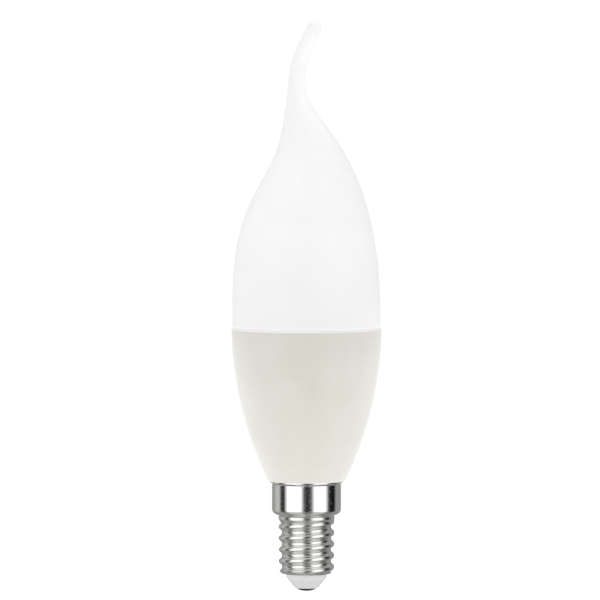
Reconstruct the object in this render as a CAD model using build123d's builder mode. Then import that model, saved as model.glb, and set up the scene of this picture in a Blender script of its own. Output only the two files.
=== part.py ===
from build123d import *
import math
import os

# Candle bulb with a bent flame tip, a tapered housing and a small Edison screw cap, in millimetres.
# The lamp axis is Z, and the origin lies on it at the face of the centre contact.
# Heights stack up from there to the tip, which bends in the XZ plane and points towards +X.

os.makedirs("parts", exist_ok=True)

# Fits
fit_clearance = 0.05

# Centre contact
contact_face_radius = 1.0
contact_radius = 2.65
contact_height = 0.7
contact_bulge = 0.12
rivet_radius = 1.2

# Insulator
insulator_foot_radius = 2.9
insulator_foot_round = 0.2
insulator_radius = 5.0
insulator_cone_height = 2.6
insulator_edge_round = 0.8
insulator_collar_height = 0.9
flange_height = 2.0

# Screw shell: a barrel with a rolled thread, a collar and shoulder above it, and a smooth skirt
sheet_thickness = 0.3
thread_major_diameter = 13.75
thread_minor_diameter = 12.15
thread_pitch = 2.822
crest_land = 0.4
first_root_rise = 0.3
root_run_out = 1.4
barrel_height = 14.4
foot_round = 1.2
collar_height = 2.4
collar_wall_height = 0.8
collar_overlap = 0.05
collar_round = 0.4
neck_round = 0.2
shoulder_rise = 0.65
shoulder_round = 1.4
skirt_radius = 8.52
skirt_height = 8.5
rim_flare = 0.43
rim_height = 0.65
rim_round = 0.2
rim_edge_height = 0.3
rim_edge_round = 0.1

# Housing
housing_height = 37.6
housing_overhang = 0.98
housing_foot_round = 0.45
housing_bulge = 2.15
housing_radius = 18.5
housing_edge_round = 0.2

# Seam between the housing and the diffuser
seam_step = 0.25
socket_wall = 1.5
spigot_height = 3.0

# Flame: its spine sways to the right, then to the left, then leans out to the tip
flame_height = 75.5
flame_fullness = 1.585
straight_rise = 19.5
sway_right = 0.25
sway_right_rise = 43.5
sway_left = 1.9
sway_left_drop = 11.0
tip_reach = 2.6
tip_lean = 23.5
slim_drop = 13.6
slim_radius = 2.05
tip_radius = 1.75
tip_round = 1.5
flame_stations = 22

# Heights along the axis
insulator_shoulder = contact_height + insulator_cone_height
shell_foot = insulator_shoulder + insulator_collar_height
lip_top = shell_foot + sheet_thickness
flange_top = lip_top + flange_height
shoulder = shell_foot + barrel_height
shoulder_edge = shoulder + shoulder_rise
shell_rim = shoulder + skirt_height
seam = shell_rim + housing_height
flame_tip = seam + flame_height

# Radii that fit in each other
rivet_hole_radius = rivet_radius + fit_clearance
lip_radius = insulator_radius + fit_clearance
root_radius = thread_minor_diameter / 2
bore_radius = root_radius - sheet_thickness
plug_radius = bore_radius - fit_clearance
skirt_bore_radius = skirt_radius - sheet_thickness
rim_radius = skirt_radius + rim_flare
housing_foot_radius = skirt_radius + housing_overhang
neck_radius = skirt_bore_radius - fit_clearance
socket_radius = housing_radius - socket_wall
spigot_radius = socket_radius - fit_clearance
diffuser_radius = housing_radius - seam_step

# Thread form: equal arcs at root and crest meet halfway up the flank, and the crest has a narrow land
form_depth = (thread_major_diameter - thread_minor_diameter) / 2
form_angle = 2 * math.atan(2 * form_depth / thread_pitch)
form_radius = thread_pitch / (4 * math.sin(form_angle))
crest_centre = root_radius + form_depth - form_radius


def crest_point(offset):
    """Radius of the crest arc at a distance along the axis from the top of the crest."""
    return crest_centre + math.sqrt(form_radius**2 - offset**2)


barrel_radius = crest_point(crest_land / 2)
collar_radius = barrel_radius + collar_overlap

# Centre contact: a domed button with a flat face, and a shank through the insulator
with BuildPart() as centre_contact:
    with BuildSketch(Plane.XZ):
        with BuildLine():
            dome = SagittaArc((contact_face_radius, 0), (contact_radius, contact_height), -contact_bulge)
            Polyline(
                dome @ 1,
                (rivet_radius, contact_height),
                (rivet_radius, flange_top),
                (0, flange_top),
                (0, 0),
                dome @ 0,
            )
        make_face()
    revolve(axis=Axis.Z)
centre_contact.part.label = "centre_contact"
export_step(centre_contact.part, "parts/centre_contact.step")

# Insulator: a cone that widens to a collar, with a flange held behind the lip of the shell
with BuildPart() as insulator:
    with BuildSketch(Plane.XZ):
        with BuildLine():
            FilletPolyline(
                (rivet_hole_radius, contact_height),
                (insulator_foot_radius, contact_height),
                (insulator_radius, insulator_shoulder),
                (insulator_radius, lip_top),
                (plug_radius, lip_top),
                (plug_radius, flange_top),
                (rivet_hole_radius, flange_top),
                radius=[0, insulator_foot_round, insulator_edge_round, 0, 0, 0, 0],
                close=True,
            )
        make_face()
    revolve(axis=Axis.Z)
insulator.part.label = "insulator"
export_step(insulator.part, "parts/insulator.step")

# One right-hand turn of the thread's root, from land to land, as the roller presses it
first_root = shell_foot + first_root_rise - thread_pitch
with BuildPart() as root_turn:
    flank_radius = root_radius + form_depth / 2
    flank_offset = thread_pitch / 4
    arc_middle = form_radius * math.sin(form_angle / 2)
    outer_radius = barrel_radius + form_depth
    with BuildLine():
        Helix(thread_pitch, thread_pitch, root_radius, center=(0, 0, first_root))
    with BuildSketch(Plane.XZ):
        with BuildLine():
            root = ThreePointArc(
                (flank_radius, first_root - flank_offset),
                (root_radius, first_root),
                (flank_radius, first_root + flank_offset),
            )
            land_radius = crest_point(crest_land / 4)
            land_offset = thread_pitch / 2 - crest_land / 4
            middle_radius = crest_point(arc_middle)
            middle_offset = thread_pitch / 2 - arc_middle
            upper = ThreePointArc(
                root @ 1,
                (middle_radius, first_root + middle_offset),
                (land_radius, first_root + land_offset),
            )
            lower = ThreePointArc(
                root @ 0,
                (middle_radius, first_root - middle_offset),
                (land_radius, first_root - land_offset),
            )
            Polyline(
                upper @ 1,
                (outer_radius, first_root + land_offset),
                (outer_radius, first_root - land_offset),
                lower @ 1,
            )
        make_face()
    sweep(is_frenet=True)

# Screw shell: one piece of sheet metal, whose barrel ends within the sheet of the shoulder
with BuildPart() as screw_shell:
    barrel_top = shoulder + sheet_thickness / 2
    with BuildSketch(Plane.XZ):
        with BuildLine():
            FilletPolyline(
                (lip_radius, shell_foot),
                (barrel_radius, shell_foot),
                (barrel_radius, barrel_top),
                (bore_radius, barrel_top),
                (bore_radius, lip_top),
                (lip_radius, lip_top),
                radius=[0, foot_round, 0, 0, 0, 0],
                close=True,
            )
        make_face()
    revolve(axis=Axis.Z)
    # The root comes in below the foot and runs out above the shoulder
    root_turns = math.ceil((shoulder + root_run_out - first_root) / thread_pitch)
    for turn in range(root_turns):
        with Locations((0, 0, turn * thread_pitch)):
            add(root_turn.part, mode=Mode.SUBTRACT)
    # The collar closes the root below the shoulder, and the skirt rises from it to a flared rim
    with BuildSketch(Plane.XZ):
        with BuildLine():
            FilletPolyline(
                (bore_radius, shoulder - collar_height),
                (root_radius, shoulder - collar_height),
                (collar_radius, shoulder - collar_wall_height),
                (collar_radius, shoulder),
                (skirt_radius, shoulder_edge),
                (skirt_radius, shell_rim - rim_height),
                (rim_radius, shell_rim - rim_edge_height),
                (rim_radius, shell_rim),
                (rim_radius - sheet_thickness, shell_rim),
                (skirt_bore_radius, shell_rim - rim_height),
                (skirt_bore_radius, shoulder_edge + sheet_thickness),
                (bore_radius, shoulder + sheet_thickness),
                radius=[
                    0,
                    0,
                    collar_round,
                    neck_round,
                    shoulder_round,
                    rim_round,
                    rim_edge_round,
                    0,
                    0,
                    rim_round + sheet_thickness,
                    shoulder_round - sheet_thickness,
                    0,
                ],
                close=True,
            )
        make_face()
    revolve(axis=Axis.Z)
screw_shell.part.label = "screw_shell"
export_step(screw_shell.part, "parts/screw_shell.step")

# Housing: a tapered body with a socket for the diffuser, and a stepped neck that fills the shell
with BuildPart() as housing:
    neck_foot = shoulder_edge + sheet_thickness + fit_clearance
    with BuildSketch(Plane.XZ):
        with BuildLine():
            flank = SagittaArc((housing_foot_radius, shell_rim), (housing_radius, seam), -housing_bulge)
            Polyline(
                flank @ 1,
                (socket_radius, seam),
                (socket_radius, seam - spigot_height),
                (0, seam - spigot_height),
                (0, flange_top),
            )
            FilletPolyline(
                (0, flange_top),
                (plug_radius, flange_top),
                (plug_radius, neck_foot),
                (neck_radius, neck_foot),
                (neck_radius, shell_rim),
                flank @ 0,
                radius=[0, 0, shoulder_round, 0],
            )
        make_face()
    revolve(axis=Axis.Z)
    foot_edge = housing.edges().filter_by_position(Axis.Z, shell_rim, shell_rim).sort_by(SortBy.RADIUS)[-1]
    fillet(foot_edge, radius=housing_foot_round)
    rim_edge = housing.edges().filter_by_position(Axis.Z, seam, seam).sort_by(SortBy.RADIUS)[-1]
    fillet(rim_edge, radius=housing_edge_round)
housing.part.label = "housing"
export_step(housing.part, "parts/housing.step")


def flame_radius(height):
    """Radius of the flame at a height: a smooth fall from the seam to the slim part, then a slight taper."""
    slim_foot = flame_tip - slim_drop
    if height > slim_foot:
        return slim_radius + (tip_radius - slim_radius) * (height - slim_foot) / slim_drop
    share = max(0, (height - seam) / (slim_foot - seam))
    fall = math.cos(math.pi / 2 * share**flame_fullness) ** 2
    return slim_radius + (diffuser_radius - slim_radius) * fall


# Spine of the flame
with BuildLine(Plane.XZ) as spine:
    lean = math.radians(tip_lean)
    Spline(
        (0, seam),
        (0, seam + straight_rise),
        (sway_right, seam + sway_right_rise),
        (-sway_left, flame_tip - sway_left_drop),
        (tip_reach, flame_tip),
        tangents=[(0, 1), (math.sin(lean), math.cos(lean))],
    )

# Diffuser: round sections square to the spine, a rounded tip, and a spigot in the socket of the housing
with BuildPart() as diffuser:
    for station in range(flame_stations + 1):
        along = station / flame_stations
        middle = spine.line @ along
        with BuildSketch(Plane(origin=middle, x_dir=(0, 1, 0), z_dir=spine.line % along)):
            Circle(flame_radius(middle.Z))
    loft()
    tip_edge = diffuser.edges().sort_by(Axis.Z)[-1]
    fillet(tip_edge, radius=tip_round)
    with BuildSketch(Plane.XY.offset(seam)):
        Circle(spigot_radius)
    extrude(amount=-spigot_height)
diffuser.part.label = "diffuser"
export_step(diffuser.part, "parts/diffuser.step")
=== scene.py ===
import logging
import math
from collections.abc import Sequence
from dataclasses import dataclass, field
from enum import Enum

import bpy
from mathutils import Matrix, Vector

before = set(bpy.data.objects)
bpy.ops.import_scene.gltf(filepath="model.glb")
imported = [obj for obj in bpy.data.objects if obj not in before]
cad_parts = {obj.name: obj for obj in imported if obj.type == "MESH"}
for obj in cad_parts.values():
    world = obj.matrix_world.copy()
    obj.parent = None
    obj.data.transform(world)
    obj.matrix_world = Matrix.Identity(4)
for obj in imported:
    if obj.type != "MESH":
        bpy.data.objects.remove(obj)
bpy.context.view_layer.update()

log = logging.getLogger("candle_bulb")

Colour = tuple[float, float, float]
Factors = tuple[float, float, float]
Span = tuple[float, float]
Socket = bpy.types.NodeSocket
Sockets = bpy.types.NodeOutputs
MM = 0.001
IN_MM: Factors = (1000.0, 1000.0, 1000.0)
NOISE_SPAN: Span = (0.3, 0.7)
FULL_TURN = 360.0


class Piece(Enum):
    """The rigid pieces of the bulb, by the names of their CAD nodes."""

    DIFFUSER = "diffuser"
    HOUSING = "housing"
    SCREW_SHELL = "screw_shell"
    INSULATOR = "insulator"
    CENTRE_CONTACT = "centre_contact"


class Ray(Enum):
    """The kinds of ray that meet the studio's walls, by the names of Blender's outputs."""

    CAMERA = "Is Camera Ray"
    MIRRORED = "Is Glossy Ray"


class Wiring:
    """Adds and links the nodes of one node tree."""

    def __init__(self, tree: bpy.types.NodeTree) -> None:
        """Takes a tree.

        Args:
            tree: the tree that the nodes go in.
        """
        self.nodes = tree.nodes
        self.links = tree.links

    def set(self, socket: Socket, value: Socket | float | Colour) -> None:
        """Links a value to a socket, or sets it there where it is plain.

        Args:
            socket: the socket of a node.
            value: another node's output, a number or a colour.
        """
        if isinstance(value, bpy.types.NodeSocket):
            self.links.new(value, socket)
        elif isinstance(value, tuple):
            socket.default_value = (*value, 1.0)
        else:
            socket.default_value = value

    def math(self, operation: str, first: Socket, second: Socket | float) -> Socket:
        """Works out one number from two.

        Args:
            operation: the operation's name.
            first: the first number.
            second: the second number.

        Returns:
            The result.
        """
        node = self.nodes.new("ShaderNodeMath")
        node.operation = operation
        self.set(node.inputs[0], first)
        self.set(node.inputs[1], second)
        return node.outputs["Value"]

    def ray(self, kind: Ray) -> Socket:
        """Gives 1 for the rays of a kind, and 0 for the others."""
        return self.nodes.new("ShaderNodeLightPath").outputs[kind.value]

    def split(self, vector: Socket) -> Sockets:
        """Splits a vector.

        Args:
            vector: the vector.

        Returns:
            Its X, Y and Z, by name.
        """
        node = self.nodes.new("ShaderNodeSeparateXYZ")
        self.links.new(vector, node.inputs["Vector"])
        return node.outputs

    def span(self, value: Socket, source: Span, target: Span = (0.0, 1.0)) -> Socket:
        """Maps one range of numbers on another, and keeps within it.

        Args:
            value: the number to map.
            source: the range it comes from.
            target: the range it goes to.

        Returns:
            The mapped number.
        """
        node = self.nodes.new("ShaderNodeMapRange")
        for name, number in zip(("From Min", "From Max", "To Min", "To Max"), source + target):
            node.inputs[name].default_value = number
        self.links.new(value, node.inputs["Value"])
        return node.outputs["Result"]

    def ramp(self, value: Socket, stops: Sequence[tuple[float, Colour]]) -> Socket:
        """Turns a number into a colour, step by step.

        Args:
            value: the number.
            stops: the number and the colour of each step, in order.

        Returns:
            The colour.
        """
        node = self.nodes.new("ShaderNodeValToRGB")
        elements = node.color_ramp.elements
        while len(elements) < len(stops):
            elements.new(1.0)
        for element, (position, colour) in zip(elements, stops):
            element.position = position
            element.color = (*colour, 1.0)
        self.links.new(value, node.inputs["Fac"])
        return node.outputs["Color"]

    def mix(self, share: Socket, first: Socket | Colour, second: Socket | Colour) -> Socket:
        """Mixes a colour into another.

        Args:
            share: how much of the second colour shows, from 0 to 1.
            first: the colour underneath.
            second: the colour that is mixed in.

        Returns:
            The mixed colour.
        """
        node = self.nodes.new("ShaderNodeMix")
        node.data_type = "RGBA"
        self.set(node.inputs["Factor"], share)
        self.set(node.inputs["A"], first)
        self.set(node.inputs["B"], second)
        return node.outputs["Result"]


class Painter(Wiring):
    """Lays out the nodes of one material, on Object coordinates measured in millimetres."""

    def __init__(self, name: str) -> None:
        """Starts a material with a plain shader.

        Args:
            name: the name of the material.
        """
        self.material: bpy.types.Material = bpy.data.materials.new(name)
        self.material.use_nodes = True
        super().__init__(self.material.node_tree)
        self.shader = self.nodes["Principled BSDF"]
        self.place: Socket = self.stretch(self.nodes.new("ShaderNodeTexCoord").outputs["Object"], IN_MM)

    def stretch(self, place: Socket, factors: Factors) -> Socket:
        """Stretches places along each axis.

        Args:
            place: the place on the surface.
            factors: the factor along X, Y and Z.

        Returns:
            The stretched place.
        """
        node = self.nodes.new("ShaderNodeVectorMath")
        node.operation = "MULTIPLY"
        self.links.new(place, node.inputs[0])
        node.inputs[1].default_value = factors
        return node.outputs["Vector"]

    def height(self) -> Socket:
        """Gives the height along the lamp axis, in millimetres."""
        return self.split(self.place)["Z"]

    def noise(self, place: Socket, per_mm: float, detail: float) -> Socket:
        """Adds a cloudy noise.

        Args:
            place: where the noise is read.
            per_mm: how many clouds there are in a millimetre.
            detail: how many finer layers lie on the clouds.

        Returns:
            The noise, from 0 to 1.
        """
        node = self.nodes.new("ShaderNodeTexNoise")
        node.inputs["Scale"].default_value = per_mm
        node.inputs["Detail"].default_value = detail
        self.links.new(place, node.inputs["Vector"])
        return node.outputs["Fac"]

    def bump(self, height: Socket, strength: float, depth: float) -> Socket:
        """Adds a relief that is too fine to model.

        Args:
            height: the relief, from 0 to 1.
            strength: how strongly it shows.
            depth: how deep it is, in metres.

        Returns:
            The normal.
        """
        node = self.nodes.new("ShaderNodeBump")
        node.inputs["Strength"].default_value = strength
        node.inputs["Distance"].default_value = depth
        self.links.new(height, node.inputs["Height"])
        return node.outputs["Normal"]

    def feed(self, **sockets: Socket) -> None:
        """Links values that vary over the surface to the shader, by socket names with _ for a space."""
        for name, socket in sockets.items():
            self.links.new(socket, self.shader.inputs[name.replace("_", " ")])

    def fix(self, **values: float | Factors) -> None:
        """Sets values that are the same all over on the shader, by socket names with _ for a space."""
        for name, value in values.items():
            self.shader.inputs[name.replace("_", " ")].default_value = value


def grey(level: float) -> Colour:
    """Gives the grey of a brightness."""
    return (level, level, level)


@dataclass(frozen=True)
class Clouds:
    """A colour that drifts between two close tones."""

    low: Colour
    high: Colour
    per_mm: float
    detail: float
    stretch: Factors = (1.0, 1.0, 1.0)

    def lay(self, painter: Painter) -> Socket:
        """Gives the colour at each place on a painter's material."""
        noise = painter.noise(painter.stretch(painter.place, self.stretch), self.per_mm, self.detail)
        return painter.ramp(noise, ((NOISE_SPAN[0], self.low), (NOISE_SPAN[1], self.high)))


@dataclass(frozen=True)
class Grain:
    """The fine grain of a skin: its relief, and the roughness that goes with it."""

    per_mm: float
    detail: float
    depth: float
    strength: float
    roughness: Span
    spots: Span = NOISE_SPAN

    def lay(self, painter: Painter) -> Socket:
        """Gives a material its relief.

        Args:
            painter: the painter of the material.

        Returns:
            The roughness at each place.
        """
        noise = painter.noise(painter.place, self.per_mm, self.detail)
        painter.feed(Normal=painter.bump(noise, self.strength, self.depth))
        return painter.span(noise, self.spots, self.roughness)


@dataclass(frozen=True)
class OpalFinish:
    """Milky plastic with a frosted skin, that light goes through, with painted shade: a little darker near
    the seam and at the tip.
    """

    milk: Clouds = Clouds((0.88, 0.88, 0.885), (0.91, 0.91, 0.915), per_mm=0.09, detail=3.0)
    frost: Grain = Grain(per_mm=5.0, detail=3.0, depth=0.02 * MM, strength=0.12, roughness=(0.46, 0.56))
    # painted shade: the darker grey that is mixed in near the seam and on the round of the tip
    painted_shade: Colour = (0.78, 0.78, 0.785)
    seam: float = 64.7
    clear_of_seam: float = 88.0
    bright_edge: float = 1.0
    seam_shade: float = 0.7
    tip_round: Span = (137.6, 139.6)
    tip_shade: float = 0.45
    depth_of_light: float = 0.4 * MM
    depth_by_colour: Factors = (1.0, 1.0, 1.0)
    gloss: float = 0.35

    def paint(self) -> bpy.types.Material:
        """Makes the finish.

        Returns:
            The material.
        """
        painter = Painter("opal_plastic_frosted")
        height = painter.height()
        # Painted shade: the base colour goes towards a darker grey above the seam and on the round of the
        # tip. In the last millimetre above the seam this painted shade fades out, which paints that edge
        # lighter.
        fade = painter.span(height, (self.seam, self.clear_of_seam), (self.seam_shade, 0.0))
        edge = painter.span(height, (self.seam, self.seam + self.bright_edge))
        tip = painter.span(height, self.tip_round, (0.0, self.tip_shade))
        shade = painter.math("ADD", painter.math("MULTIPLY", fade, edge), tip)
        painter.feed(
            Base_Color=painter.mix(shade, self.milk.lay(painter), self.painted_shade),
            Roughness=self.frost.lay(painter),
        )
        painter.fix(
            Subsurface_Weight=1.0,
            Subsurface_Radius=self.depth_by_colour,
            Subsurface_Scale=self.depth_of_light,
            Specular_IOR_Level=self.gloss,
        )
        return painter.material


@dataclass(frozen=True)
class CreamFinish:
    """Cream plastic with a smooth satin skin, with a painted highlight: paler on the round of its upper edge.
    """

    cream: Clouds = Clouds((0.590, 0.573, 0.520), (0.620, 0.603, 0.550), per_mm=0.12, detail=4.0)
    satin: Grain = Grain(per_mm=4.0, detail=2.0, depth=0.015 * MM, strength=0.10, roughness=(0.36, 0.46))
    # painted highlight: the pale colour that is laid on the round of the upper edge
    pale: Colour = (0.92, 0.915, 0.90)
    painted_highlight_band: Span = (64.4, 64.6)
    gloss: float = 0.5
    sheen: float = 1.0
    sheen_roughness: float = 0.5

    def paint(self) -> bpy.types.Material:
        """Makes the finish.

        Returns:
            The material.
        """
        painter = Painter("housing_plastic_satin")
        # Painted highlight: a thin band on the round of the upper edge is mixed towards the pale colour.
        edge = painter.span(painter.height(), self.painted_highlight_band)
        painter.feed(
            Base_Color=painter.mix(edge, self.cream.lay(painter), self.pale),
            Roughness=self.satin.lay(painter),
        )
        painter.fix(
            Specular_IOR_Level=self.gloss,
            Sheen_Weight=self.sheen,
            Sheen_Roughness=self.sheen_roughness,
        )
        return painter.material


@dataclass(frozen=True)
class NickelFinish:
    """Bright nickel plate on rolled sheet, stippled on the skirt, and more even and duller in the thread."""

    streaks: Clouds = Clouds(
        (0.76, 0.75, 0.735),
        (0.82, 0.815, 0.80),
        per_mm=0.5,
        detail=3.0,
        stretch=(1.0, 1.0, 0.25),
    )
    stipple: Grain = Grain(
        per_mm=5.5,
        detail=2.0,
        depth=0.006 * MM,
        strength=0.10,
        roughness=(0.05, 0.31),
        spots=(0.48, 0.68),
    )
    shoulder: Span = (18.6, 19.8)
    thread_stipple: float = 0.25
    thread_roughening: float = 0.21

    def paint(self) -> bpy.types.Material:
        """Makes the finish.

        Returns:
            The material.
        """
        painter = Painter("plated_metal_bright")
        height = painter.height()
        share = painter.span(height, self.shoulder, (self.thread_stipple, 1.0))
        rolled = painter.span(height, self.shoulder, (self.thread_roughening, 0.0))
        stippled = painter.math("MULTIPLY", self.stipple.lay(painter), share)
        painter.feed(
            Base_Color=self.streaks.lay(painter),
            Roughness=painter.math("ADD", stippled, rolled),
        )
        painter.fix(Metallic=1.0)
        return painter.material


@dataclass(frozen=True)
class InsulatorFinish:
    """Smooth pale moulding, a little grey, with painted light: whiter up at its collar, where the shell
    shades it.
    """

    pale: Clouds = Clouds((0.49, 0.49, 0.485), (0.53, 0.53, 0.525), per_mm=0.5, detail=3.0)
    skin: Grain = Grain(per_mm=5.0, detail=2.0, depth=0.008 * MM, strength=0.08, roughness=(0.24, 0.34))
    # painted light: the whiter colour that is mixed in up at the collar
    white: Colour = (0.68, 0.68, 0.675)
    collar: Span = (2.9, 3.9)
    gloss: float = 0.5

    def paint(self) -> bpy.types.Material:
        """Makes the finish.

        Returns:
            The material.
        """
        painter = Painter("insulator_plastic_smooth")
        # Painted light: the collar, which the shell shades, is mixed towards the whiter colour.
        collar = painter.span(painter.height(), self.collar)
        painter.feed(
            Base_Color=painter.mix(collar, self.pale.lay(painter), self.white),
            Roughness=self.skin.lay(painter),
        )
        painter.fix(Specular_IOR_Level=self.gloss)
        return painter.material


@dataclass(frozen=True)
class ContactFinish:
    """Dull grey metal, turned and a little stained."""

    stain: Clouds = Clouds((0.02, 0.02, 0.0195), (0.055, 0.055, 0.054), per_mm=0.9, detail=4.0)
    turning: Grain = Grain(per_mm=6.0, detail=2.0, depth=0.01 * MM, strength=0.15, roughness=(0.32, 0.48))

    def paint(self) -> bpy.types.Material:
        """Makes the finish.

        Returns:
            The material.
        """
        painter = Painter("contact_metal_dull")
        painter.feed(Base_Color=self.stain.lay(painter), Roughness=self.turning.lay(painter))
        painter.fix(Metallic=1.0)
        return painter.material


def coat(piece: Piece, material: bpy.types.Material) -> None:
    """Puts a material on a CAD node."""
    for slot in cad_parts[piece.value].material_slots:
        slot.material = material


@dataclass
class Flame:
    """The opal flame above the seam."""

    finish: OpalFinish = field(default_factory=OpalFinish)

    def dress(self) -> list[Piece]:
        """Gives the diffuser its finish, and says which piece was dressed."""
        coat(Piece.DIFFUSER, self.finish.paint())
        return [Piece.DIFFUSER]


@dataclass
class Body:
    """The tapered housing below the seam."""

    finish: CreamFinish = field(default_factory=CreamFinish)

    def dress(self) -> list[Piece]:
        """Gives the housing its finish, and says which piece was dressed."""
        coat(Piece.HOUSING, self.finish.paint())
        return [Piece.HOUSING]


@dataclass
class ScrewCap:
    """The cap: metal shell, insulator and centre contact."""

    plate: NickelFinish = field(default_factory=NickelFinish)
    moulding: InsulatorFinish = field(default_factory=InsulatorFinish)
    button: ContactFinish = field(default_factory=ContactFinish)

    def dress(self) -> list[Piece]:
        """Gives the three pieces of the cap their finishes.

        Returns:
            The pieces that were dressed.
        """
        coat(Piece.SCREW_SHELL, self.plate.paint())
        coat(Piece.INSULATOR, self.moulding.paint())
        coat(Piece.CENTRE_CONTACT, self.button.paint())
        return [Piece.SCREW_SHELL, Piece.INSULATOR, Piece.CENTRE_CONTACT]


@dataclass(frozen=True)
class Tone:
    """How bright the studio's walls are at a bearing, in degrees from the camera's side, right positive."""

    bearing: float
    brightness: float


@dataclass(frozen=True)
class Walls:
    """What stands round the bulb: white for the camera, bright panels and dark gaps for the bulb.

    The foot, the top and the edge of the panels are heights on a ball of radius 1 round the bulb.
    """

    tones: tuple[Tone, ...] = (
        Tone(-180.0, 1.15),
        Tone(-173.0, 1.15),
        Tone(-166.0, 0.35),
        Tone(-142.0, 0.36),
        Tone(-113.0, 0.65),
        Tone(-105.0, 0.62),
        Tone(-93.0, 0.035),
        Tone(-80.0, 0.020),
        Tone(-65.0, 1.45),
        Tone(-19.5, 1.45),
        Tone(-9.5, 0.22),
        Tone(-5.0, 0.05),
        Tone(3.0, 0.018),
        Tone(10.0, 0.05),
        Tone(17.0, 0.22),
        Tone(28.0, 1.45),
        Tone(65.0, 1.45),
        Tone(78.5, 0.12),
        Tone(86.0, 0.008),
        Tone(105.0, 0.0),
        Tone(119.0, 0.37),
        Tone(166.0, 0.32),
        Tone(173.0, 1.15),
        Tone(180.0, 1.15),
    )
    backdrop: float = 1.05
    below: float = 0.30
    above: float = 1.1
    above_mirrored: float = 0.6
    panel_foot: float = -0.27
    panel_top: float = 0.64
    panel_edge: float = 0.07
    panel_gleam: float = 0.28

    def paint(self) -> bpy.types.World:
        """Makes the world that the walls are painted on.

        Returns:
            The world.
        """
        world = bpy.data.worlds.new("studio")
        world.use_nodes = True
        wiring = Wiring(world.node_tree)
        wiring.nodes.clear()
        way = wiring.split(wiring.nodes.new("ShaderNodeTexCoord").outputs["Generated"])
        ends = self.ends(wiring, way["Z"])
        room = wiring.mix(self.reach(wiring, way["Z"]), ends, self.panels(wiring, way))
        choice = wiring.nodes.new("ShaderNodeMixShader")
        wiring.set(choice.inputs["Fac"], wiring.ray(Ray.CAMERA))
        for socket, colour in ((choice.inputs[1], room), (choice.inputs[2], grey(self.backdrop))):
            wall = wiring.nodes.new("ShaderNodeBackground")
            wiring.set(wall.inputs["Color"], colour)
            wiring.set(socket, wall.outputs["Background"])
        out = wiring.nodes.new("ShaderNodeOutputWorld")
        wiring.set(out.inputs["Surface"], choice.outputs["Shader"])
        return world

    def panels(self, wiring: Wiring, way: Sockets) -> Socket:
        """Paints the panels and gaps round the bulb.

        Args:
            wiring: the nodes of the world.
            way: the X, Y and Z of the way from the bulb.

        Returns:
            The brightness at each bearing.
        """
        bearing = wiring.math("ARCTAN2", way["X"], wiring.math("MULTIPLY", way["Y"], -1.0))
        stops = [(tone.bearing / FULL_TURN + 0.5, grey(tone.brightness)) for tone in self.tones]
        return wiring.ramp(wiring.span(bearing, (-math.pi, math.pi)), stops)

    def reach(self, wiring: Wiring, rise: Socket) -> Socket:
        """Says where the panels stand.

        Args:
            wiring: the nodes of the world.
            rise: the Z of the way from the bulb.

        Returns:
            1 between the foot and the top of the panels, 0 above them, and the gleam of the panels below.
        """
        foot_start = self.panel_foot - self.panel_edge
        top_end = self.panel_top + self.panel_edge
        foot = wiring.span(rise, (foot_start, self.panel_foot), (self.panel_gleam, 1.0))
        top = wiring.span(rise, (self.panel_top, top_end), (1.0, 0.0))
        return wiring.math("MULTIPLY", foot, top)

    def ends(self, wiring: Wiring, rise: Socket) -> Socket:
        """Paints what lies below and above the panels, with a darker ceiling for the metal to mirror.

        Args:
            wiring: the nodes of the world.
            rise: the Z of the way from the bulb.

        Returns:
            The brightness there.
        """
        share = wiring.span(rise, (self.panel_foot, self.panel_top))
        ceiling = wiring.span(wiring.ray(Ray.MIRRORED), (0.0, 1.0), (self.above, self.above_mirrored))
        return wiring.mix(share, grey(self.below), ceiling)


@dataclass(frozen=True)
class SoftLight:
    """A soft light that the metal doesn't mirror, aimed at a height of the bulb.

    Its bearing goes round from the camera's side and its rise up from level, in degrees, as its spread is.
    """

    name: str
    bearing: float
    rise: float
    distance: float
    width: float
    height: float
    watts: float
    aim: float = 0.07
    spread: float = 180.0

    def hang(self) -> None:
        """Adds the light to the scene."""
        bearing = math.radians(self.bearing)
        rise = math.radians(self.rise)
        level = self.distance * math.cos(rise)
        up = self.distance * math.sin(rise)
        offset = Vector((level * math.sin(bearing), -level * math.cos(bearing), up))
        bpy.ops.object.light_add(type="AREA", location=offset + Vector((0.0, 0.0, self.aim)))
        light = bpy.context.object
        light.name = self.name
        light.rotation_euler = (-offset).to_track_quat("-Z", "Y").to_euler()
        light.data.shape = "RECTANGLE"
        light.data.size = self.width
        light.data.size_y = self.height
        light.data.spread = math.radians(self.spread)
        light.data.energy = self.watts
        light.visible_camera = False
        light.visible_glossy = False


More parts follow.
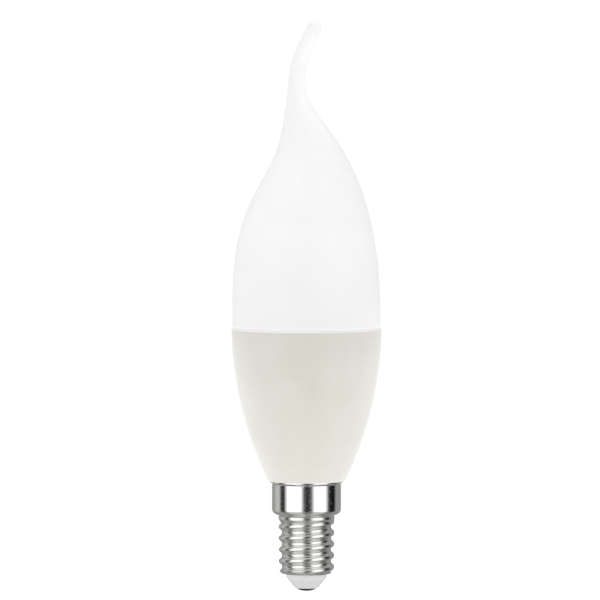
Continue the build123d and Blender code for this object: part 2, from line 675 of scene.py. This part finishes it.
@dataclass
class Studio:
    """A plain pale studio: white floor, walls with bright panels, soft lights and the camera."""

    walls: Walls = field(default_factory=Walls)
    lights: tuple[SoftLight, ...] = (
        SoftLight("fill_front", bearing=0.0, rise=50.0, distance=0.8, width=0.6, height=0.6, watts=0.5),
        SoftLight("fill_left", bearing=-92.0, rise=8.0, distance=0.6, width=0.5, height=0.6, watts=0.85),
        SoftLight("fill_right", bearing=94.0, rise=8.0, distance=0.6, width=0.5, height=0.6, watts=1.25),
        SoftLight(
            "grid_left",
            bearing=-112.0,
            rise=0.0,
            distance=0.3,
            width=0.03,
            height=0.02,
            watts=0.0003,
            aim=0.050,
            spread=6.0,
        ),
        SoftLight(
            "grid_right",
            bearing=112.0,
            rise=0.0,
            distance=0.3,
            width=0.03,
            height=0.02,
            watts=0.0005,
            aim=0.054,
            spread=6.0,
        ),
        SoftLight(
            "grid_tip",
            bearing=50.0,
            rise=-20.0,
            distance=0.3,
            width=0.02,
            height=0.02,
            watts=0.00020,
            aim=0.133,
            spread=5.0,
        ),
    )
    floor_size: float = 0.24
    floor_tone: Clouds = Clouds(grey(0.27), grey(0.30), per_mm=0.004, detail=2.0)
    floor_roughness: float = 0.9
    floor_glow: float = 1.15
    target: Vector = field(default_factory=lambda: Vector((-0.00160, 0.0, 0.0717)))
    camera_distance: float = 1.17
    camera_height: float = 0.121
    camera_view: float = 0.1476
    camera_sensor: float = 36.0
    camera_clip: Span = (0.01, 100.0)

    def build(self) -> None:
        """Sets up the floor, the walls, the lights and the camera."""
        self.lay_floor()
        bpy.context.scene.world = self.walls.paint()
        for light in self.lights:
            light.hang()
        self.place_camera()
        bpy.context.scene.view_settings.view_transform = "Standard"

    def lay_floor(self) -> None:
        """Lays the white floor, which shines up on the bulb and stays out of the metal."""
        bpy.ops.object.select_all(action="DESELECT")
        bpy.ops.mesh.primitive_plane_add(size=self.floor_size)
        floor = bpy.context.object
        floor.name = "floor"
        painter = Painter("floor_white")
        painter.feed(Base_Color=self.floor_tone.lay(painter))
        painter.fix(
            Roughness=self.floor_roughness,
            Specular_IOR_Level=0.0,
            Emission_Strength=self.floor_glow,
        )
        painter.set(painter.shader.inputs["Emission Color"], grey(1.0))
        floor.data.materials.append(painter.material)
        floor.visible_glossy = False
        floor.visible_transmission = False
        floor.visible_shadow = False

    def place_camera(self) -> None:
        """Places the camera in front of the bulb, a little above it, as in the photograph."""
        place = Vector((self.target.x, -self.camera_distance, self.camera_height))
        look = self.target - place
        bpy.ops.object.camera_add(location=place)
        camera = bpy.context.object
        camera.rotation_euler = look.to_track_quat("-Z", "Y").to_euler()
        camera.data.sensor_width = self.camera_sensor
        camera.data.lens = self.camera_sensor * look.length / self.camera_view
        camera.data.clip_start, camera.data.clip_end = self.camera_clip
        bpy.context.scene.camera = camera


def main() -> None:
    """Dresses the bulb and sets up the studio."""
    logging.basicConfig(level=logging.INFO, format="%(name)s: %(message)s")
    for assembly in (Flame(), Body(), ScrewCap()):
        for piece in assembly.dress():
            log.info("dressed %s", piece.value)
    Studio().build()
    log.info("set up the studio")


if __name__ == "__main__":
    main()
